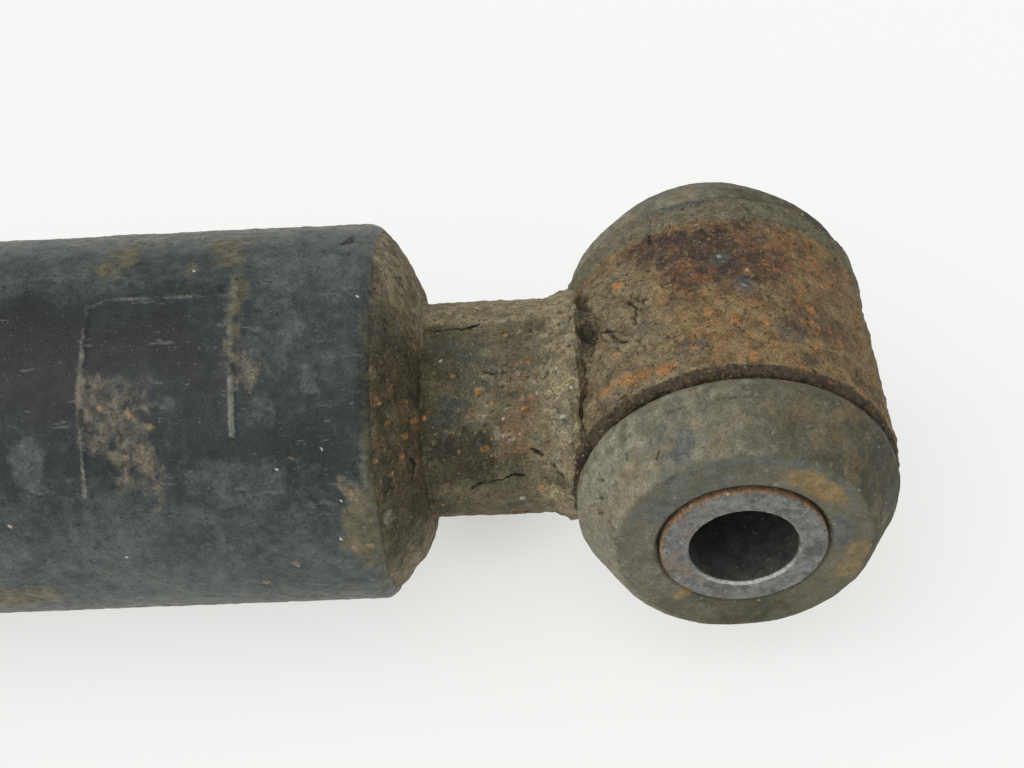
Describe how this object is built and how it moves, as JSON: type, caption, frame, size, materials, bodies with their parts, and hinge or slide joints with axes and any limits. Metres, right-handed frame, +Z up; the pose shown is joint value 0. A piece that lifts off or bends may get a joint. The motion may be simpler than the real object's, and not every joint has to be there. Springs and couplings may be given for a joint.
{
  "type": "rear shock absorber",
  "caption": "Single-tube gas shock absorber with a rubber-bushed lower eye, a coned tube end, a plated rod with bump stop, and a threaded stem mount with grommets.",
  "frame": {"origin": "centre of the lower eye, on the axis of the bolt that goes through it", "axes": "+X along the damper from its rod end to the lower eye, +Y along the eye's bolt axis, +Z up as the damper lies on its side"},
  "size_m": [0.6051, 0.0484, 0.046],
  "materials": {
    "tube_paint": "satin, dusty",
    "muddy_steel": "dried mud over steel, matt",
    "rusty_steel": "rusted, rough",
    "dusty_rubber": "dusty, matt",
    "worn_steel": "worn, satin",
    "black_rubber": "matt",
    "chrome": "ground and polished",
    "steel": "satin",
    "zinc_steel": "zinc plated, satin",
    "aluminium": "machined",
    "sintered_iron": "sintered, matt",
    "ptfe": "matt",
    "foam": "cellular, matt"
  },
  "bodies": {
    "damper_body": {"body_tube": "tube_paint", "base_cap": "muddy_steel", "eye_neck": "muddy_steel", "eye_ring": "rusty_steel", "rubber_bush": "dusty_rubber", "rod_guide": "aluminium", "guide_o_ring": "black_rubber", "guide_bushing": "ptfe", "rod_seal": "black_rubber", "seal_washer": "steel", "retaining_ring": "steel", "rod_wiper": "black_rubber", "bump_plate": "zinc_steel"},
    "floating_piston_body": {"floating_piston": "aluminium", "floating_o_ring": "black_rubber", "floating_band": "ptfe"},
    "piston_band_body": {"piston_band": "ptfe"},
    "rod_assembly": {"piston_rod": "chrome", "piston": "sintered_iron", "rebound_shim_1": "steel", "rebound_shim_2": "steel", "rebound_shim_3": "steel", "compression_shim_1": "steel", "compression_shim_2": "steel", "compression_shim_3": "steel", "nut_washer": "steel", "piston_nut": "steel", "stop_washer": "steel", "rebound_stop": "steel", "rebound_buffer": "black_rubber", "bump_stop": "foam", "lower_washer": "zinc_steel", "lower_grommet": "black_rubber", "spacer_sleeve": "zinc_steel", "upper_grommet": "black_rubber", "upper_washer": "zinc_steel", "upper_nut": "zinc_steel", "lock_nut": "zinc_steel"},
    "eye_sleeve": {"bush_sleeve": "worn_steel"}
  },
  "joints": [
    {"name": "rod_slide", "type": "slide", "parent": "damper_body", "child": "piston_band_body", "axis": [1, 0, 0], "range_m": [0, 0.15], "stiffness_N_per_m": 500, "springref_m": -0.42},
    {"name": "rod_spin", "type": "hinge", "parent": "piston_band_body", "child": "rod_assembly", "pos_m": [-0.272, 0, 0], "axis": [1, 0, 0], "continuous": true},
    {"name": "floating_piston_slide", "type": "slide", "parent": "damper_body", "child": "floating_piston_body", "axis": [1, 0, 0], "range_m": [0, 0.013]},
    {"name": "lower_bush_twist", "type": "hinge", "parent": "damper_body", "child": "eye_sleeve", "pos_m": [0, 0, 0], "axis": [0, 1, 0], "range_deg": [-18, 18], "stiffness_Nm_per_rad": 35}
  ],
  "couplings": [
    {"joint": "floating_piston_slide", "follows": "rod_slide", "ratio": 0.08566}
  ]
}
